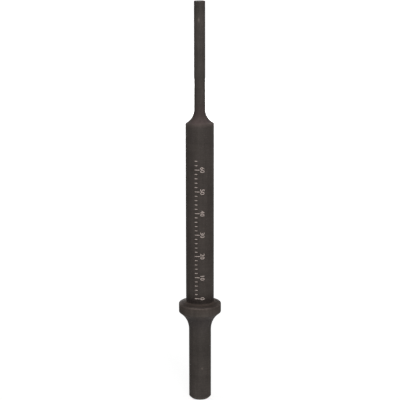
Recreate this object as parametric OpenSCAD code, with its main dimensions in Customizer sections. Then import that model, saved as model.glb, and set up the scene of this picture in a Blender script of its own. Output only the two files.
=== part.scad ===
// Pin punch bit for an air hammer, in millimetres.
// The real tool is one turned bar. Each of its sections is a solid of its own here,
// and neighbours meet face to face on planes square to the axis.
// The pin points up +Z. The origin is on the axis, where the straight shank ends
// and the flare under the collar begins.

/* [Shank] */
// Diameter of the shank, which slides in the hammer's bore
shank_d = 10.2; // [9:0.1:12.7]
// Length of the shank, from the flare down to the striking end
shank_len = 33.6; // [20:0.2:60]
// Width and height of the bevel round the striking end
heel_bevel = 1.1; // [0.5:0.1:2]
// Rounding between the bevel and the striking face
heel_edge_r = 0.8; // [0.2:0.1:1]

/* [Flare] */
// Radius of the hollow that spreads from the shank to the collar
flare_r = 10.4; // [6:0.2:16]
// Rounding of the collar's lower rim
flare_rim_r = 0.45; // [0.2:0.05:1]

/* [Collar] */
// Diameter of the collar
collar_d = 19.4; // [17:0.1:24]
// Height of the collar's straight band, from its lower rim to its upper edge
collar_band_h = 3.8; // [2:0.1:8]
// Rise of the collar's top face, from its edge in to the body
collar_rise = 1; // [0.4:0.1:3]
// Rounding of the collar's upper edge
collar_edge_r = 0.35; // [0.1:0.05:1]
// Radius of the fillet where the body stands on the collar
foot_fillet_r = 0.4; // [0.2:0.1:1]

/* [Body] */
// Diameter of the body
body_d = 12.8; // [10:0.1:15]
// Length of the body, from the fillet on the collar to the rim of the nose
body_len = 82.2; // [40:0.2:140]

/* [Nose] */
// Radius of the hollow that narrows from the body to the pin
nose_r = 7; // [5:0.2:12]
// Rounding of the rim between the body and the hollow
nose_rim_r = 0.5; // [0.2:0.05:1]

/* [Pin] */
// Diameter of the pin
pin_d = 5; // [3:0.1:8]
// Length of the straight pin, from the nose to the tip
pin_len = 48; // [20:0.5:80]
// Rounding of the edge round the tip
pin_edge_r = 0.35; // [0.1:0.05:0.8]

/* [Hidden] */
$fn = 128;

// Radii of the sections
shank_rad = shank_d / 2;
collar_rad = collar_d / 2;
body_rad = body_d / 2;
pin_rad = pin_d / 2;

// Height of a hollow that leaves a thin cylinder along its side
// and ends on a rounded rim that runs into a wide cylinder
function hollow_height(thin, wide, hollow, rim) =
    sqrt((hollow + rim) ^ 2 - (thin + hollow + rim - wide) ^ 2);

// Heights of the planes between the sections, from the origin up
flare_top = hollow_height(shank_rad, collar_rad, flare_r, flare_rim_r);
collar_edge = flare_top + collar_band_h;
foot = collar_edge + collar_rise;
body_bottom = foot + foot_fillet_r;
body_top = body_bottom + body_len;
nose_top = body_top + hollow_height(pin_rad, body_rad, nose_r, nose_rim_r);
tip = nose_top + pin_len;

// Colours of the phosphated steel
steel = "#46413E";
hollow_steel = "#4E4644";
shank_steel = "#3C3835";

function unit(v) = v / norm(v);

// Half of the angle at a corner between its two neighbours
function half_angle(before, here, after) = acos(unit(before - here) * unit(after - here)) / 2;

// Ends of a corner's arc, or the corner itself where it stays sharp
function arc_ends(before, here, after, rounding) =
    let (reach = rounding / tan(half_angle(before, here, after)))
    rounding == 0 ? [here] : [here + reach * unit(before - here), here + reach * unit(after - here)];

// Centre of a corner's arc
function arc_centre(before, here, after, rounding) =
    here + rounding / sin(half_angle(before, here, after))
        * unit(unit(before - here) + unit(after - here));

// Turns half an outline round the axis
module turned() {
    rotate_extrude() children();
}

// Half an outline from corners [distance from the axis, height, rounding].
// It runs anticlockwise, from the axis out, up and back in. An outer corner is filled up to its
// arc and an inner one is cut back to it, so each rounding is one true arc.
module rounded_outline(corners) {
    at = [for (corner = corners) [corner[0], corner[1]]];
    last = len(corners) - 1;
    inside = [for (i = [1 : last - 1]) if (corners[i][2] > 0) i];
    outer = [for (i = inside) if (cross(at[i] - at[i - 1], at[i + 1] - at[i]) > 0) i];
    inner = [for (i = inside) if (cross(at[i] - at[i - 1], at[i + 1] - at[i]) < 0) i];
    difference() {
        polygon([
            at[0],
            for (i = [1 : last - 1]) each arc_ends(at[i - 1], at[i], at[i + 1], corners[i][2]),
            at[last],
        ]);
        for (i = inner)
            translate(arc_centre(at[i - 1], at[i], at[i + 1], corners[i][2])) circle(corners[i][2]);
    }
    for (i = outer)
        translate(arc_centre(at[i - 1], at[i], at[i + 1], corners[i][2])) circle(corners[i][2]);
}

// A hollow cone that rises from a wide foot at z = 0 to a thin neck:
// a rounded rim at the foot, then one arc that ends along the neck's side
module hollow_cone(thin, wide, hollow, rim) {
    height = hollow_height(thin, wide, hollow, rim);
    rim_centre = wide - rim;
    hollow_centre = thin + hollow;
    share = rim / (hollow + rim);
    // Point where the rim's arc runs into the hollow's arc
    meet = [rim_centre + share * (hollow_centre - rim_centre), share * height];
    turned() {
        difference() {
            polygon([[0, 0], [rim_centre, 0], meet, [thin, height], [0, height]]);
            translate([hollow_centre, height]) circle(hollow);
        }
        intersection() {
            translate([rim_centre, 0]) circle(rim);
            square([wide, rim]);
        }
    }
}

// Straight shank with a bevelled, rounded striking end
module shank() {
    color(shank_steel) turned() rounded_outline([
        [0, -shank_len, 0],
        [shank_rad - heel_bevel, -shank_len, heel_edge_r],
        [shank_rad, heel_bevel - shank_len, 0],
        [shank_rad, 0, 0],
        [0, 0, 0],
    ]);
}

// Hollow flare from the shank out to the collar's lower rim
module shank_taper() {
    color(hollow_steel)
        translate([0, 0, flare_top]) mirror([0, 0, 1])
            hollow_cone(shank_rad, collar_rad, flare_r, flare_rim_r);
}

// Collar that the hammer's retainer holds, with a top that slopes up to the body
module collar() {
    color(steel) turned() rounded_outline([
        [0, flare_top, 0],
        [collar_rad, flare_top, 0],
        [collar_rad, collar_edge, collar_edge_r],
        [body_rad, foot, foot_fillet_r],
        [body_rad, body_bottom, 0],
        [0, body_bottom, 0],
    ]);
}

// Long plain body
module body() {
    color(steel) translate([0, 0, body_bottom]) cylinder(h = body_len, r = body_rad);
}

// Hollow nose from the body in to the pin
module nose() {
    color(hollow_steel) translate([0, 0, body_top])
        hollow_cone(pin_rad, body_rad, nose_r, nose_rim_r);
}

// Straight pin with a lightly rounded tip
module pin() {
    color(steel) turned() rounded_outline([
        [0, nose_top, 0],
        [pin_rad, nose_top, 0],
        [pin_rad, tip, pin_edge_r],
        [0, tip, 0],
    ]);
}

shank();
shank_taper();
collar();
body();
nose();
pin();
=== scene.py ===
# Pin punch bit for an air hammer: one turned bar of phosphated steel, standing on its striking end.
import math
import bmesh
import bpy
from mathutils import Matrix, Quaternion, Vector


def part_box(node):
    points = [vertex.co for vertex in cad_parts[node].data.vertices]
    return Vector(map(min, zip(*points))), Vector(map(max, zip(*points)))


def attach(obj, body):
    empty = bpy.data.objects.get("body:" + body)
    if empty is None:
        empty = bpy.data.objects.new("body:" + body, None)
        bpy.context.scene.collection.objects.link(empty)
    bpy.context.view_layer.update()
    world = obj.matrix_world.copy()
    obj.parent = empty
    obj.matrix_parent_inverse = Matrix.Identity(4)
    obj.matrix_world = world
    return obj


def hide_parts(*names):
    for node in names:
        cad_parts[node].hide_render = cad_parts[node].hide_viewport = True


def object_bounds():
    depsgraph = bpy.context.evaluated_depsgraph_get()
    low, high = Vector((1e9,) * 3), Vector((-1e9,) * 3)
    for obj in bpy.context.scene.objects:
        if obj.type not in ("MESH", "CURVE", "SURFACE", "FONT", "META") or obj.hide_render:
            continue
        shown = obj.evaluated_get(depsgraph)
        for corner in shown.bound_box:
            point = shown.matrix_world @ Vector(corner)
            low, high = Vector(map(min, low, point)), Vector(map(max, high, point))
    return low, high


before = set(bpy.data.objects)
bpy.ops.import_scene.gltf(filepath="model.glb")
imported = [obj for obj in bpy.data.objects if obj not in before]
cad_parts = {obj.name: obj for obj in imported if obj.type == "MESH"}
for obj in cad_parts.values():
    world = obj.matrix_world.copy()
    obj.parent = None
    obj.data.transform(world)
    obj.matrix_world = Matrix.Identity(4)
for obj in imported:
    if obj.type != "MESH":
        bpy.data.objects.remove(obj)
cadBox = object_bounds()

mm = 0.001
wholeBar = "root"                # the one rigid body
noiseLow, noiseHigh = 0.3, 0.7   # a noise texture seldom goes past these
noiseMiddle = 0.5


# Small helpers

def linearColour(code):  # sRGB hex to the linear colour that a shader takes
    channels = [int(code[at:at + 2], 16) / 255 for at in (1, 3, 5)]
    return [c / 12.92 if c <= 0.04045 else ((c + 0.055) / 1.055) ** 2.4 for c in channels] + [1]


def addNode(tree, kind, inputs=None, **settings):
    # Adds a node, sets its properties, and fills each named input with a value or a link
    node = tree.nodes.new(kind)
    for name, value in settings.items():
        setattr(node, name, value)
    for key, value in (inputs or {}).items():
        if isinstance(value, bpy.types.NodeSocket):
            tree.links.new(value, node.inputs[key])
        else:
            node.inputs[key].default_value = value
    return node


def newGeometryTree(name, sizes):
    # A geometry tree with its named sizes, which a modifier sets by identifier
    tree = bpy.data.node_groups.new(name, "GeometryNodeTree")
    tree.interface.new_socket("Geometry", in_out="INPUT", socket_type="NodeSocketGeometry")
    for label, kind in sizes.items():
        tree.interface.new_socket(label, in_out="INPUT", socket_type="NodeSocket" + kind)
    tree.interface.new_socket("Geometry", in_out="OUTPUT", socket_type="NodeSocketGeometry")
    return tree, addNode(tree, "NodeGroupInput").outputs


def finishTree(tree, geometry, material):
    # Every tree ends the same way: real geometry with its material
    realized = addNode(tree, "GeometryNodeRealizeInstances", {"Geometry": geometry})
    painted = addNode(tree, "GeometryNodeSetMaterial",
                      {"Geometry": realized.outputs[0], "Material": material})
    addNode(tree, "NodeGroupOutput", {"Geometry": painted.outputs[0]})


def runTree(name, startMesh, tree, values):
    # Runs a geometry tree once and leaves its result as a plain mesh
    piece = bpy.data.objects.new(name, startMesh)
    bpy.context.scene.collection.objects.link(piece)
    modifier = piece.modifiers.new("make", "NODES")
    modifier.node_group = tree
    for item in tree.interface.items_tree:
        if item.in_out == "INPUT" and item.name in values:
            modifier[item.identifier] = values[item.name]
    evaluated = piece.evaluated_get(bpy.context.evaluated_depsgraph_get())
    made = bpy.data.meshes.new_from_object(evaluated)
    piece.modifiers.clear()
    piece.data = made
    return piece


# Materials

steelLook = {
    "tones": [                   # [height in mm, colour], from the striking end up
        [-33.6, "#46413E"], [-15.0, "#3D3936"], [-2.0, "#3E3A37"],       # shank
        [2.0, "#3C3836"], [6.0, "#3B3736"], [8.5, "#47423F"],            # flare
        [14.1, "#2C2724"], [14.9, "#241F1D"], [16.8, "#35302D"],         # foot of the body, darker: painted shade where it stands on the collar
        [20.0, "#3F3A37"], [45.0, "#3C3734"], [85.0, "#413C39"],         # body
        [95.8, "#423D3A"], [97.5, "#605553"], [101.0, "#483F3D"],        # nose: browner, and lighter on its hollow as painted light on a face that looks up
        [106.0, "#3E3936"], [120.0, "#44403D"], [150.8, "#3F3B38"]],     # pin
    "rimWearAndHighlights": [                    # [height in mm, spread in mm, wear from 0 to 1] of each band painted paler, as wear and, on the collar and nose, as a painted highlight
        [-33.3, 0.7, 0.35], [-32.5, 0.5, 0.4], [-17.5, 6.0, 0.07],       # striking end, then the shank
        [12.75, 0.6, 0.85], [97.0, 0.7, 0.85],                           # collar edge and nose rim: painted highlights, partly wear
        [141.8, 6.0, 0.1], [150.8, 0.6, 0.5]],                           # pin, tip
    "wearAndHighlight": "#837771",         # paler colour of rubbed rims and of the painted highlights on rims and scuffs
    "wearAndHighlightLeast": 0.4,            # share of the wear and painted highlight that is left between the crystals
    "wearPolish": 0.08,          # how much smoother a fully rubbed place is
    "rimPatchSize": 9.7,             # mm, between the lighter and the fainter places on the rims
    "rimPatchSpan": (0.35, 0.6),     # noise values where the rims are painted faintest and lightest
    "rimPatchDepth": 0.85,           # share of the wear and painted highlight that the fainter places lack
    "rimPatchSeed": 88.3,            # another number, another pattern
    "scuffsAndGlints": [                  # [sideways, height, half width, half length in mm, wear from 0 to 1] of each scuff, which is also a painted glint
        [-0.35, 142.8, 0.8, 1.5, 0.6], [0.95, -17.7, 0.8, 0.9, 0.45]],
    "scuffGlintRagged": 2.5,          # how far the crystals break up a scuff's outline
    "sparkle": "#645A57",        # bright faces of the crystals
    "sparkleShare": 0.35,
    "sparkleSpan": (0.52, 0.75),         # noise values where the bright faces begin and are full
    "cloudSize": 9.0,            # mm
    "cloudDepth": 0.16,          # share of the tone
    "streakSize": (1.1, 22.0),   # mm, width and length of the streaks left by wiping
    "streakDepth": 0.08,         # share of the tone
    "crystalSize": 0.45,         # mm
    "crystalDepth": 0.012,       # mm
    "crystalGrit": 0.65,         # how much of the finest detail shows
    "ringPitch": 0.35,           # mm between lathe marks
    "ringDepth": 0.01,           # mm
    "ringTone": 0.07,            # share of the tone, darker in the marks and lighter between them
    "roughness": 0.56,
    "roughnessSpread": 0.05,     # from crystal to crystal
    "gloss": 0.025,              # low, since the coat is porous
}


def phosphatedSteel(name, **changes):
    # Tool steel, turned on a lathe, coated with manganese phosphate and wiped with oil.
    # To the eye it is a dark brown-grey, matt and slightly cloudy coat of fine crystals, with faint
    # lathe rings under it, fainter lengthwise streaks from wiping, rims rubbed lighter here and
    # there, and two small scuffs. Some of its colour is painted light and shade: a painted highlight
    # on the collar edge and the nose rim, painted glints on the scuffs, painted shade at the foot of
    # the body, and painted light on the nose's hollow.
    look = {**steelLook, **changes}
    material = bpy.data.materials.new(name)
    material.use_nodes = True
    tree = material.node_tree
    tree.nodes.clear()
    place = addNode(tree, "ShaderNodeTexCoord").outputs["Object"]
    axes = addNode(tree, "ShaderNodeSeparateXYZ", {0: place}).outputs
    across = addNode(tree, "ShaderNodeCombineXYZ", {"X": axes["X"], "Y": axes["Y"]}).outputs[0]
    radius = addNode(tree, "ShaderNodeVectorMath", {0: across}, operation="LENGTH").outputs["Value"]

    # Tone: set by the height on the bar
    low, high = look["tones"][0][0], look["tones"][-1][0]
    share = addNode(tree, "ShaderNodeMapRange",
                    {"Value": axes["Z"], "From Min": low * mm, "From Max": high * mm})
    ramp = addNode(tree, "ShaderNodeValToRGB", {0: share.outputs[0]})
    stops = ramp.color_ramp.elements     # two of them, until more are added
    for _ in look["tones"][2:]:
        stops.new(1.0)
    for stop, (height, code) in zip(stops, look["tones"]):
        stop.position = (height - low) / (high - low)
        stop.color = linearColour(code)

    # Clouds: the coat is a little thicker or thinner over some millimetres
    cloud = addNode(tree, "ShaderNodeTexNoise",
                    {"Vector": place, "Scale": 1 / (look["cloudSize"] * mm), "Detail": 3.0}).outputs[0]
    cloud = addNode(tree, "ShaderNodeMapRange",
                    {"Value": cloud, "From Min": noiseLow, "From Max": noiseHigh,
                     "To Min": 1 - look["cloudDepth"], "To Max": 1 + look["cloudDepth"]}).outputs[0]

    # Streaks: noise that hardly changes along the bar
    width, length = look["streakSize"]
    streak = addNode(tree, "ShaderNodeVectorMath", {0: place, 1: (1, 1, width / length)},
                     operation="MULTIPLY").outputs[0]
    streak = addNode(tree, "ShaderNodeTexNoise",
                     {"Vector": streak, "Scale": 1 / (width * mm), "Detail": 2.0}).outputs[0]
    streak = addNode(tree, "ShaderNodeMapRange",
                     {"Value": streak, "From Min": noiseLow, "From Max": noiseHigh,
                      "To Min": 1 - look["streakDepth"], "To Max": 1 + look["streakDepth"]}).outputs[0]
    shade = addNode(tree, "ShaderNodeMath", {0: cloud, 1: streak}, operation="MULTIPLY").outputs[0]

    # Lathe rings: noise over radius and height, so lines round a side and circles on an end
    profile = addNode(tree, "ShaderNodeCombineXYZ", {"X": radius, "Y": axes["Z"]}).outputs[0]
    ring = addNode(tree, "ShaderNodeTexNoise",
                   {"Vector": profile, "Scale": 1 / (look["ringPitch"] * mm), "Detail": 2.0},
                   noise_dimensions="2D").outputs[0]
    ringShade = addNode(tree, "ShaderNodeMapRange",
                        {"Value": ring, "From Min": noiseLow, "From Max": noiseHigh,
                         "To Min": 1 - look["ringTone"], "To Max": 1 + look["ringTone"]}).outputs[0]
    shade = addNode(tree, "ShaderNodeMath", {0: shade, 1: ringShade}, operation="MULTIPLY").outputs[0]
    colour = addNode(tree, "ShaderNodeVectorMath", {0: ramp.outputs[0], "Scale": shade},
                     operation="SCALE").outputs[0]

    # Crystals: real ones are about 0.02 mm, drawn coarser so that they show as a fine grain
    crystal = addNode(tree, "ShaderNodeTexNoise",
                      {"Vector": place, "Scale": 1 / (look["crystalSize"] * mm), "Detail": 4.0,
                       "Roughness": look["crystalGrit"]}).outputs[0]
    begins, full = look["sparkleSpan"]
    sparkle = addNode(tree, "ShaderNodeMapRange",
                      {"Value": crystal, "From Min": begins, "From Max": full,
                       "To Max": look["sparkleShare"]}).outputs[0]
    colour = addNode(tree, "ShaderNodeMix",
                     {"Factor": sparkle, 6: colour, 7: linearColour(look["sparkle"])},
                     data_type="RGBA").outputs[2]

    # Rubbed rims: bands round the bar where the coat is thin, painted paler; on the collar edge and the
    # nose rim this is mostly a painted highlight
    wearAndHighlight = None
    for height, spread, wear in look["rimWearAndHighlights"]:
        away = addNode(tree, "ShaderNodeMath", {0: axes["Z"], 1: height * mm}, operation="SUBTRACT")
        away = addNode(tree, "ShaderNodeMath", {0: away.outputs[0]}, operation="ABSOLUTE")
        near = addNode(tree, "ShaderNodeMapRange",
                       {"Value": away.outputs[0], "From Min": 0.0, "From Max": spread * mm,
                        "To Min": wear, "To Max": 0.0}, interpolation_type="SMOOTHSTEP").outputs[0]
        wearAndHighlight = near if wearAndHighlight is None else addNode(
            tree, "ShaderNodeMath", {0: wearAndHighlight, 1: near}, operation="MAXIMUM").outputs[0]

    # The rims' wear and painted highlight aren't even round the bar: this noise is the same at every
    # height
    level = addNode(tree, "ShaderNodeVectorMath", {0: across, 1: (0, 0, look["rimPatchSeed"] * mm)},
                    operation="ADD").outputs[0]
    uneven = addNode(tree, "ShaderNodeTexNoise",
                     {"Vector": level, "Scale": 1 / (look["rimPatchSize"] * mm), "Detail": 1.0}).outputs[0]
    least, most = look["rimPatchSpan"]
    uneven = addNode(tree, "ShaderNodeMapRange",
                     {"Value": uneven, "From Min": least, "From Max": most,
                      "To Min": 1 - look["rimPatchDepth"], "To Max": 1.0}).outputs[0]
    wearAndHighlight = addNode(tree, "ShaderNodeMath", {0: wearAndHighlight, 1: uneven}, operation="MULTIPLY").outputs[0]

    # Scuffs: small knocks, each also a painted glint, only on the front that faces the camera, with an
    # outline that the crystals break up
    front = addNode(tree, "ShaderNodeMath", {0: axes["Y"], 1: 0.0}, operation="LESS_THAN").outputs[0]
    inner = look["scuffGlintRagged"] * noiseMiddle      # what the crystals add on average
    for sideways, height, halfWidth, halfLength, wear in look["scuffsAndGlints"]:
        away = addNode(tree, "ShaderNodeVectorMath",
                       {0: place, 1: (sideways * mm, 0, height * mm)}, operation="SUBTRACT").outputs[0]
        away = addNode(tree, "ShaderNodeVectorMath",
                       {0: away, 1: (1 / (halfWidth * mm), 0, 1 / (halfLength * mm))},
                       operation="MULTIPLY").outputs[0]
        away = addNode(tree, "ShaderNodeVectorMath", {0: away}, operation="LENGTH").outputs["Value"]
        away = addNode(tree, "ShaderNodeMath", {0: crystal, 1: look["scuffGlintRagged"], 2: away},
                       operation="MULTIPLY_ADD").outputs[0]
        near = addNode(tree, "ShaderNodeMapRange",
                       {"Value": away, "From Min": inner, "From Max": inner + 1,
                        "To Min": wear, "To Max": 0.0}, interpolation_type="SMOOTHSTEP").outputs[0]
        near = addNode(tree, "ShaderNodeMath", {0: near, 1: front}, operation="MULTIPLY").outputs[0]
        wearAndHighlight = addNode(tree, "ShaderNodeMath", {0: wearAndHighlight, 1: near}, operation="MAXIMUM").outputs[0]

    # The crystals break up all wear and painted highlights, and both the rubbed places and the painted
    # highlights are paler and smoother
    patchy = addNode(tree, "ShaderNodeMapRange",
                     {"Value": crystal, "From Min": noiseLow, "From Max": noiseHigh,
                      "To Min": look["wearAndHighlightLeast"]}).outputs[0]
    wornAndHighlit = addNode(tree, "ShaderNodeMath", {0: wearAndHighlight, 1: patchy}, operation="MULTIPLY").outputs[0]
    colour = addNode(tree, "ShaderNodeMix",
                     {"Factor": wornAndHighlit, 6: colour, 7: linearColour(look["wearAndHighlight"])},
                     data_type="RGBA").outputs[2]
    rough = addNode(tree, "ShaderNodeMapRange",
                    {"Value": crystal, "From Min": noiseLow, "From Max": noiseHigh,
                     "To Min": look["roughness"] - look["roughnessSpread"],
                     "To Max": look["roughness"] + look["roughnessSpread"]}).outputs[0]
    rough = addNode(tree, "ShaderNodeMath", {0: wornAndHighlit, 1: -look["wearPolish"], 2: rough},
                    operation="MULTIPLY_ADD").outputs[0]

    # Relief: the rings under the crystals
    rings = addNode(tree, "ShaderNodeBump",
                    {"Strength": 1.0, "Distance": look["ringDepth"] * mm, "Height": ring})
    coat = addNode(tree, "ShaderNodeBump",
                   {"Strength": 1.0, "Distance": look["crystalDepth"] * mm, "Height": crystal,
                    "Normal": rings.outputs[0]})
    shader = addNode(tree, "ShaderNodeBsdfPrincipled",
                     {"Base Color": colour, "Roughness": rough, "Normal": coat.outputs[0],
                      "Specular IOR Level": look["gloss"]})
    addNode(tree, "ShaderNodeOutputMaterial", {"Surface": shader.outputs[0]})
    return material


barSteel = phosphatedSteel("turnedPhosphatedSteel")
print("mixed the steel of the bar")


# Turned sections, whose ends come from the frame

def sectionOf(node):
    low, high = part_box(node)
    return {"low": low[2] / mm, "high": high[2] / mm, "radius": (high[0] - low[0]) / 2 / mm}


sections = {node: sectionOf(node) for node in ("shank", "shank_taper", "collar", "body", "nose", "pin")}
shank, flare, collar = sections["shank"], sections["shank_taper"], sections["collar"]
body, nose, pin = sections["body"], sections["nose"], sections["pin"]

turning = {
    "facets": 144,               # round the bar
    "arcStep": 4.0,              # degrees between points on a rounding
    "ringStep": 1.0,             # mm between rings on a straight stretch
    "waveDepth": 0.006,          # mm, how far the ground side wanders
    "waveLength": 5.0,           # mm
    "seed": 3.7,
    "sharpAngle": 35.0,          # degrees, from which an edge is drawn sharp
    "capShare": 0.5,             # share of an end's radius that its one flat cap covers
}


def arcPoints(centre, radius, start, end):
    # Points [distance from the axis, height] along an arc, with both ends
    steps = max(2, math.ceil(abs(math.degrees(end - start)) / turning["arcStep"]))
    angles = [start + (end - start) * step / steps for step in range(steps + 1)]
    return [centre + radius * Vector((math.cos(angle), math.sin(angle))) for angle in angles]


def roundedOutline(corners):
    # A turned outline from corners [distance from the axis, height, rounding], from the bottom up
    points = []
    at = [Vector(corner[:2]) for corner in corners]
    for number, (here, corner) in enumerate(zip(at, corners)):
        if corner[2] == 0:
            points.append(here)
            continue
        back = (at[number - 1] - here).normalized()
        ahead = (at[number + 1] - here).normalized()
        half = back.angle(ahead) / 2
        centre = here + (back + ahead).normalized() * corner[2] / math.sin(half)
        reach = corner[2] / math.tan(half)
        first, last = here + back * reach - centre, here + ahead * reach - centre
        start = math.atan2(first.y, first.x)
        sweep = (math.atan2(last.y, last.x) - start + math.pi) % (2 * math.pi) - math.pi
        points += arcPoints(centre, corner[2], start, start + sweep)
    return points


def hollowOutline(thin, wide, height, rim):
    # A rounded rim at height 0, then one arc that ends along the thin neck's side
    step = wide - thin
    hollow = (height ** 2 + step ** 2) / (2 * step) - rim
    rimCentre, hollowCentre = Vector((wide - rim, 0)), Vector((thin + hollow, height))
    lean = math.atan2(height, hollowCentre.x - rimCentre.x)
    rimArc = arcPoints(rimCentre, rim, 0, lean)
    return rimArc + arcPoints(hollowCentre, hollow, lean - math.pi, -math.pi)[1:]


def withRings(points):
    # Long straight stretches get a ring every so often
    filled = [points[0]]
    for before, after in zip(points, points[1:]):
        count = max(1, round((after - before).length / turning["ringStep"]))
        filled += [before.lerp(after, part / count) for part in range(1, count + 1)]
    return filled


def makeTurningTree():
    # Turns an outline round the axis. The outline lies along the axis, with its radius as an attribute.
    tree, given = newGeometryTree("turnedSection", {
        "Facets": "Int", "Wave Depth": "Float", "Wave Length": "Float", "Seed": "Float",
        "Sharp Angle": "Float", "Material": "Material"})
    spine = addNode(tree, "GeometryNodeMeshToCurve", {"Mesh": given["Geometry"]}).outputs[0]
    radius = addNode(tree, "GeometryNodeInputNamedAttribute", {"Name": "turnRadius"},
                     data_type="FLOAT").outputs[0]
    height = addNode(tree, "ShaderNodeSeparateXYZ",
                     {0: addNode(tree, "GeometryNodeInputPosition").outputs[0]}).outputs["Z"]
    along = addNode(tree, "ShaderNodeMath", {0: height, 1: given["Wave Length"]}, operation="DIVIDE")
    along = addNode(tree, "ShaderNodeMath", {0: along.outputs[0], 1: given["Seed"]}, operation="ADD")
    wave = addNode(tree, "ShaderNodeTexNoise", {"W": along.outputs[0], "Scale": 1.0},
                   noise_dimensions="1D").outputs[0]
    wave = addNode(tree, "ShaderNodeMath", {0: wave, 1: -noiseMiddle}, operation="ADD").outputs[0]
    radius = addNode(tree, "ShaderNodeMath", {0: wave, 1: given["Wave Depth"], 2: radius},
                     operation="MULTIPLY_ADD").outputs[0]
    circle = addNode(tree, "GeometryNodeCurvePrimitiveCircle",
                     {"Resolution": given["Facets"], "Radius": 1.0}).outputs[0]
    skin = addNode(tree, "GeometryNodeCurveToMesh",
                   {"Curve": spine, "Profile Curve": circle, "Scale": radius,
                    "Fill Caps": True}).outputs[0]
    angle = addNode(tree, "GeometryNodeInputMeshEdgeAngle").outputs["Unsigned Angle"]
    isSharp = addNode(tree, "ShaderNodeMath", {0: angle, 1: given["Sharp Angle"]},
                      operation="GREATER_THAN").outputs[0]
    smooth = addNode(tree, "GeometryNodeSetShadeSmooth", {"Geometry": skin, "Shade Smooth": True})
    edged = addNode(tree, "GeometryNodeSetShadeSmooth",
                    {"Geometry": smooth.outputs[0], "Selection": isSharp, "Shade Smooth": False},
                    domain="EDGE")
    finishTree(tree, edged.outputs[0], given["Material"])
    return tree


turningTree = makeTurningTree()


def turnSection(name, node, points, material=barSteel):
    # One turned section in place of its CAD node, from outline points in millimetres
    points = withRings(points)
    spine = bpy.data.meshes.new(name)
    spine.from_pydata([(0, 0, point.y * mm) for point in points],
                      [(low, low + 1) for low in range(len(points) - 1)], [])
    radii = spine.attributes.new("turnRadius", "FLOAT", "POINT")
    radii.data.foreach_set("value", [point.x * mm for point in points])
    piece = runTree(name, spine, turningTree, {
        "Facets": turning["facets"], "Wave Depth": turning["waveDepth"] * mm,
        "Wave Length": turning["waveLength"] * mm, "Seed": turning["seed"],
        "Sharp Angle": math.radians(turning["sharpAngle"]), "Material": material})
    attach(piece, wholeBar)
    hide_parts(node)
    print("turned", name, len(piece.data.vertices), "points")


# Shank: straight, with a bevelled and rounded striking end

shankSizes = {                   # all in mm
    "bevel": 1.1,                # width and height
    "faceEdge": 0.8,             # rounding between the striking face and the bevel
    "bevelEdge": 0.15,           # rounding between the bevel and the side
}
turnSection("shankSection", "shank", roundedOutline([
    [turning["capShare"] * shank["radius"], shank["low"], 0],
    [shank["radius"] - shankSizes["bevel"], shank["low"], shankSizes["faceEdge"]],
    [shank["radius"], shank["low"] + shankSizes["bevel"], shankSizes["bevelEdge"]],
    [shank["radius"], shank["high"], 0],
]))

# Flare: one hollow from the shank out to the collar's lower rim

flareSizes = {"rim": 0.45}       # mm, its rounding
flareHeight = flare["high"] - flare["low"]
flareOutline = hollowOutline(shank["radius"], flare["radius"], flareHeight, flareSizes["rim"])
turnSection("flareSection", "shank_taper",
            [Vector((point.x, flare["high"] - point.y)) for point in reversed(flareOutline)])

# Collar: a straight band, a crisp upper edge and a top that slopes up to the body

collarSizes = {                  # all in mm
    "band": 3.8,                 # height of the straight band
    "edge": 0.35,                # rounding of its upper edge
    "fillet": 0.4,               # rounding where the body stands on the collar
}
collarLook = {                   # where it differs from the rest of the bar
    "tones": [                   # [height in mm, colour]
        [8.8, "#48433F"], [12.7, "#463F3B"], [13.1, "#463F3B"],          # band and upper edge
        [13.35, "#5A504A"], [13.65, "#5A504A"],                          # sloping top
        [13.75, "#3A3330"], [14.1, "#2C2724"]],                          # fillet, darker: painted shade where the body stands on the collar
    "roughness": 0.7,
}
collarSteel = phosphatedSteel("collarPhosphatedSteel", **collarLook)
collarEdge = collar["low"] + collarSizes["band"]
turnSection("collarSection", "collar", roundedOutline([
    [collar["radius"], collar["low"], 0],
    [collar["radius"], collarEdge, collarSizes["edge"]],
    [body["radius"], collar["high"] - collarSizes["fillet"], collarSizes["fillet"]],
    [body["radius"], collar["high"], 0],
]), collarSteel)

# Body: the long plain stretch

turnSection("bodySection", "body",
            [Vector((body["radius"], body["low"])), Vector((body["radius"], body["high"]))])

# Nose: a rounded rim and one hollow in to the pin

noseSizes = {"rim": 0.5}         # mm, its rounding
noseHeight = nose["high"] - nose["low"]
noseOutline = hollowOutline(pin["radius"], body["radius"], noseHeight, noseSizes["rim"])
turnSection("noseSection", "nose", [Vector((point.x, nose["low"] + point.y)) for point in noseOutline])

# Pin: straight, with a lightly rounded tip

pinSizes = {"edge": 0.35}        # mm, rounding of the tip's edge
turnSection("pinSection", "pin", roundedOutline([
    [pin["radius"], pin["low"], 0],
    [pin["radius"], pin["high"], pinSizes["edge"]],
    [turning["capShare"] * pin["radius"], pin["high"], 0],
]))


# Scale: plain marks and numbers in millimetres, laser etched along the front of the body

scale = {
    "from": 16.5,                # mm, height of the zero mark
    "marks": 33,
    "step": 2.0,                 # mm from mark to mark
    "longEvery": 5,              # marks, from one long mark with a number to the next
    "lineWidth": 0.28,           # mm
    "lengths": (1.2, 2.2),       # mm, of a short and a long mark
    "left": -2.3,                # mm from the middle line to where the marks start
    "numberLeft": 0.25,          # mm from the middle line to the feet of the numbers
    "numberHeight": 1.9,         # mm
    "proud": 0.012,              # mm that the marks stand out, so that they show
    "sunk": 0.02,                # mm that they reach in
    "markColumns": 9,            # columns of points along a mark, so that it bends round the body
    "cutStep": 0.15,             # mm between the cuts through the numbers, for the same reason
    "cuts": 11,
    "curveSteps": 3,             # steps along each curve of a digit
}
etchLook = {
    "burnt": ("#948781", "#C0B2AB"),     # least and most
    "grainSize": 0.4,            # mm
    "grainDepth": 0.01,          # mm
    "roughness": 0.6,
    "gloss": 0.3,
}
digitShare = 0.7                 # a digit's height as a share of the font's size
joinWithin = 5e-7                # m, corners nearer to each other than this are one
cutWithin = 1e-8                 # m, corners nearer to a cut than this lie on it


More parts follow.
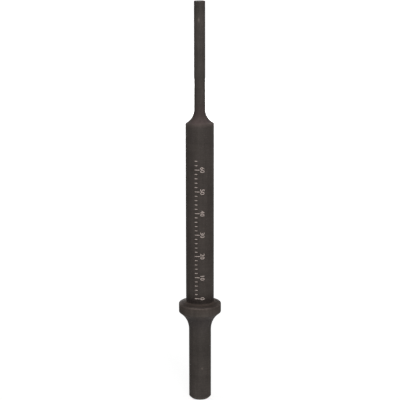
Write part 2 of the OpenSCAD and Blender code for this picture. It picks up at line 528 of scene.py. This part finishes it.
def etchedSteel():
    # Laser etching: the beam burns the phosphate off, which leaves matt, pale grey-brown steel
    # with a fine, slightly mottled grain
    material = bpy.data.materials.new("laserEtchedSteel")
    material.use_nodes = True
    tree = material.node_tree
    tree.nodes.clear()
    place = addNode(tree, "ShaderNodeTexCoord").outputs["Object"]
    burn = addNode(tree, "ShaderNodeTexNoise",
                   {"Vector": place, "Scale": 1 / (etchLook["grainSize"] * mm),
                    "Detail": 3.0}).outputs[0]
    burnShare = addNode(tree, "ShaderNodeMapRange",
                        {"Value": burn, "From Min": noiseLow, "From Max": noiseHigh}).outputs[0]
    least, most = etchLook["burnt"]
    colour = addNode(tree, "ShaderNodeMix",
                     {"Factor": burnShare, 6: linearColour(least), 7: linearColour(most)},
                     data_type="RGBA").outputs[2]
    bump = addNode(tree, "ShaderNodeBump",
                   {"Strength": 1.0, "Distance": etchLook["grainDepth"] * mm, "Height": burn})
    shader = addNode(tree, "ShaderNodeBsdfPrincipled",
                     {"Base Color": colour, "Roughness": etchLook["roughness"],
                      "Normal": bump.outputs[0], "Specular IOR Level": etchLook["gloss"]})
    addNode(tree, "ShaderNodeOutputMaterial", {"Surface": shader.outputs[0]})
    return material


def flatNumbers():
    # The numbers as a flat, thin mesh: across is x, along the bar is z, and outwards is -y
    sheet = bmesh.new()
    for mark in range(0, scale["marks"], scale["longEvery"]):
        count = round(mark * scale["step"])
        letters = bpy.data.curves.new("number", "FONT")
        letters.body = str(count)
        letters.size = scale["numberHeight"] * mm / digitShare
        letters.align_x = "CENTER"
        letters.resolution_u = scale["curveSteps"]
        letters.extrude = (scale["proud"] + scale["sunk"]) / 2 * mm
        holder = bpy.data.objects.new("number", letters)
        bpy.context.scene.collection.objects.link(holder)
        evaluated = holder.evaluated_get(bpy.context.evaluated_depsgraph_get())
        digits = bpy.data.meshes.new_from_object(evaluated)
        middle = (scale["proud"] - scale["sunk"]) / 2 * mm
        height = (scale["from"] + count) * mm
        for corner in digits.vertices:
            along, up, out = corner.co
            corner.co = (scale["numberLeft"] * mm + up, -middle - out, height - along)
        sheet.from_mesh(digits)
        bpy.data.objects.remove(holder)
    bmesh.ops.remove_doubles(sheet, verts=sheet.verts, dist=joinWithin)
    for cut in range(1, scale["cuts"] + 1):
        across = (scale["numberLeft"] + cut * scale["cutStep"]) * mm
        bmesh.ops.bisect_plane(sheet, geom=sheet.verts[:] + sheet.edges[:] + sheet.faces[:],
                               dist=cutWithin, plane_co=(across, 0, 0), plane_no=(1, 0, 0))
    bmesh.ops.triangulate(sheet, faces=sheet.faces[:])
    bmesh.ops.recalc_face_normals(sheet, faces=sheet.faces[:])
    flat = bpy.data.meshes.new("scaleNumbers")
    sheet.to_mesh(flat)
    sheet.free()
    return flat


def makeScaleTree():
    # Marks along a line, every so many of them long, then bent round the body with the numbers
    tree, given = newGeometryTree("etchedScale", {
        "Marks": "Int", "Long Every": "Int", "First": "Vector", "Step": "Vector", "Line": "Vector",
        "Short": "Float", "Long": "Float", "Radius": "Float", "Material": "Material"})
    line = addNode(tree, "GeometryNodeMeshLine",
                   {"Count": given["Marks"], "Start Location": given["First"], "Offset": given["Step"]})
    # One mark: 1 m long until it is scaled, from its point to the right
    bar = addNode(tree, "GeometryNodeMeshCube",
                  {"Size": given["Line"], "Vertices X": scale["markColumns"]}).outputs[0]
    bar = addNode(tree, "GeometryNodeTransform",
                  {"Geometry": bar, "Translation": (1 / 2, 0, 0)}).outputs[0]
    index = addNode(tree, "GeometryNodeInputIndex").outputs[0]
    rest = addNode(tree, "ShaderNodeMath", {0: index, 1: given["Long Every"]},
                   operation="MODULO").outputs[0]
    isLong = addNode(tree, "ShaderNodeMath", {0: rest, 1: 1 / 2}, operation="LESS_THAN").outputs[0]
    length = addNode(tree, "ShaderNodeMix",
                     {"Factor": isLong, 2: given["Short"], 3: given["Long"]}).outputs[0]
    size = addNode(tree, "ShaderNodeCombineXYZ", {"X": length, "Y": 1.0, "Z": 1.0}).outputs[0]
    marks = addNode(tree, "GeometryNodeInstanceOnPoints",
                    {"Points": line.outputs[0], "Instance": bar, "Scale": size}).outputs[0]
    marks = addNode(tree, "GeometryNodeRealizeInstances", {"Geometry": marks}).outputs[0]
    both = addNode(tree, "GeometryNodeJoinGeometry", {"Geometry": marks})
    tree.links.new(given["Geometry"], both.inputs[0])

    # Round the body: across turns into an angle, and depth into a distance from the axis
    flat = addNode(tree, "ShaderNodeSeparateXYZ",
                   {0: addNode(tree, "GeometryNodeInputPosition").outputs[0]}).outputs
    turn = addNode(tree, "ShaderNodeMath", {0: flat["X"], 1: given["Radius"]},
                   operation="DIVIDE").outputs[0]
    reach = addNode(tree, "ShaderNodeMath", {0: given["Radius"], 1: flat["Y"]},
                    operation="SUBTRACT").outputs[0]
    sine = addNode(tree, "ShaderNodeMath", {0: turn}, operation="SINE").outputs[0]
    cosine = addNode(tree, "ShaderNodeMath", {0: turn}, operation="COSINE").outputs[0]
    side = addNode(tree, "ShaderNodeMath", {0: sine, 1: reach}, operation="MULTIPLY").outputs[0]
    front = addNode(tree, "ShaderNodeMath", {0: cosine, 1: reach}, operation="MULTIPLY").outputs[0]
    front = addNode(tree, "ShaderNodeMath", {0: front, 1: -1.0}, operation="MULTIPLY").outputs[0]
    bent = addNode(tree, "ShaderNodeCombineXYZ", {"X": side, "Y": front, "Z": flat["Z"]}).outputs[0]
    wrapped = addNode(tree, "GeometryNodeSetPosition", {"Geometry": both.outputs[0], "Position": bent})
    finishTree(tree, wrapped.outputs[0], given["Material"])
    return tree


def makeScale():
    # The marks' line starts at their left ends, halfway through their depth
    short, long = scale["lengths"]
    depth = scale["proud"] + scale["sunk"]
    inward = (scale["sunk"] - scale["proud"]) / 2
    piece = runTree("millimetreScale", flatNumbers(), makeScaleTree(), {
        "Marks": scale["marks"], "Long Every": scale["longEvery"],
        "First": (scale["left"] * mm, inward * mm, scale["from"] * mm),
        "Step": (0, 0, scale["step"] * mm), "Line": (1, depth * mm, scale["lineWidth"] * mm),
        "Short": short * mm, "Long": long * mm, "Radius": body["radius"] * mm,
        "Material": etchedSteel()})
    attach(piece, wholeBar)
    piece.data.materials.pop(index=0)            # an empty slot that the join leaves
    print("etched the scale,", len(piece.data.polygons), "faces")


makeScale()


# Ground, light and camera

ground = {
    "size": 8.0,                 # m
    "colour": "#D0D0D0",
    "glowNear": 0.78,            # lift to white for the eye, lower by the bar so that its shadow shows
    "glowFar": 1.0,
    "reach": (0.05, 0.6),        # m from the bar, where the glow is near and where it is far
}


def raysThatSee(tree):
    # 1 for rays that show the background: the camera's, reflections and what is seen through glass
    path = addNode(tree, "ShaderNodeLightPath").outputs
    seen = addNode(tree, "ShaderNodeMath", {0: path["Is Camera Ray"], 1: path["Is Glossy Ray"]},
                   operation="MAXIMUM").outputs[0]
    return addNode(tree, "ShaderNodeMath", {0: seen, 1: path["Is Transmission Ray"]},
                   operation="MAXIMUM").outputs[0]


def groundPaper():
    # Seamless paper: an even pale ground that the eye sees as white, where it is out of the shadow
    material = bpy.data.materials.new("groundPaper")
    material.use_nodes = True
    tree = material.node_tree
    tree.nodes.clear()
    paper = addNode(tree, "ShaderNodeBsdfDiffuse",
                    {"Color": linearColour(ground["colour"])}).outputs[0]
    place = addNode(tree, "ShaderNodeTexCoord").outputs["Object"]
    flat = addNode(tree, "ShaderNodeVectorMath", {0: place, 1: (1, 1, 0)},
                   operation="MULTIPLY").outputs[0]
    away = addNode(tree, "ShaderNodeVectorMath", {0: flat}, operation="LENGTH").outputs["Value"]
    near, far = ground["reach"]
    glowHere = addNode(tree, "ShaderNodeMapRange",
                       {"Value": away, "From Min": near, "From Max": far,
                        "To Min": ground["glowNear"], "To Max": ground["glowFar"]}).outputs[0]
    lift = addNode(tree, "ShaderNodeMath", {0: raysThatSee(tree), 1: glowHere},
                   operation="MULTIPLY").outputs[0]
    glow = addNode(tree, "ShaderNodeEmission", {"Strength": lift}).outputs[0]
    both = addNode(tree, "ShaderNodeAddShader", {0: paper, 1: glow}).outputs[0]
    addNode(tree, "ShaderNodeOutputMaterial", {"Surface": both})
    return material


def makeGround():
    half = ground["size"] / 2
    level = cadBox[0][2]                         # the striking end stands on it
    corners = [(-half, -half, level), (half, -half, level), (half, half, level), (-half, half, level)]
    sheet = bpy.data.meshes.new("ground")
    sheet.from_pydata(corners, [], [(0, 1, 2, 3)])
    sheet.materials.append(groundPaper())
    floor = bpy.data.objects.new("ground", sheet)
    bpy.context.scene.collection.objects.link(floor)


air = {
    "side": 0.42,                # light from round the horizon, where 1 is white
    "top": 0.18,                 # light from high up, low so that the collar's top stays dark
    "reach": (0.1, 0.7),         # sines of the two heights between which side turns into top
}


def makeWorld():
    # Soft light from all round, like the walls of a light tent. The eye sees plain white.
    world = bpy.data.worlds.new("studio")
    bpy.context.scene.world = world
    world.use_nodes = True
    tree = world.node_tree
    tree.nodes.clear()
    towards = addNode(tree, "ShaderNodeTexCoord").outputs["Generated"]
    height = addNode(tree, "ShaderNodeSeparateXYZ", {0: towards}).outputs["Z"]
    low, high = air["reach"]
    wall = addNode(tree, "ShaderNodeMapRange",
                   {"Value": height, "From Min": low, "From Max": high,
                    "To Min": air["side"], "To Max": air["top"]},
                   interpolation_type="SMOOTHSTEP").outputs[0]
    white = linearColour("#FFFFFF")
    dim = addNode(tree, "ShaderNodeBackground", {"Color": white, "Strength": wall}).outputs[0]
    plain = addNode(tree, "ShaderNodeBackground", {"Color": white, "Strength": 1.0}).outputs[0]
    mixed = addNode(tree, "ShaderNodeMixShader", {0: raysThatSee(tree), 1: dim, 2: plain}).outputs[0]
    addNode(tree, "ShaderNodeOutputWorld", {"Surface": mixed})


softBoxes = {
    "places": {"frontBox": (0.16, -1.0, 0.12), "backBox": (-0.16, 1.0, 0.12)},   # m
    "powers": {"frontBox": 7.6, "backBox": 4.6},                                 # W
    "facing": (0, 0, 0.06),      # m, a point on the bar
    "size": (0.5, 0.28),         # m, width and height
}


def makeSoftBox(name):
    light = bpy.data.lights.new(name, "AREA")
    light.shape = "RECTANGLE"
    light.size, light.size_y = softBoxes["size"]
    light.energy = softBoxes["powers"][name]
    holder = bpy.data.objects.new(name, light)
    holder.location = softBoxes["places"][name]
    ahead = Vector(softBoxes["facing"]) - holder.location
    holder.rotation_euler = ahead.to_track_quat("-Z", "Y").to_euler()
    bpy.context.scene.collection.objects.link(holder)


eye = {
    "down": 13.5,                # degrees that the camera looks down by
    "distance": 603.5,           # mm from the point that it looks at
    "aim": (0.086, 0.0, 61.3),   # mm, that point
    "lens": 120.0,               # mm
    "sensor": 36.0,              # mm
    "roll": -0.08,               # degrees
    "nearest": 0.01,             # m, nothing nearer to the camera is drawn
}


def makeCamera():
    lens = bpy.data.cameras.new("camera")
    lens.lens, lens.sensor_width = eye["lens"], eye["sensor"]
    lens.clip_start = eye["nearest"]
    camera = bpy.data.objects.new("camera", lens)
    down = math.radians(eye["down"])
    back = Vector((0, -math.cos(down), math.sin(down)))
    camera.location = (Vector(eye["aim"]) + back * eye["distance"]) * mm
    roll = Quaternion(back, math.radians(eye["roll"]))
    camera.rotation_euler = (roll @ (-back).to_track_quat("-Z", "Y")).to_euler()
    bpy.context.scene.collection.objects.link(camera)
    bpy.context.scene.camera = camera


makeGround()
makeWorld()
for boxName in softBoxes["places"]:
    makeSoftBox(boxName)
makeCamera()
bpy.context.scene.view_settings.view_transform = "Standard"
print("ground, light and camera are in place")
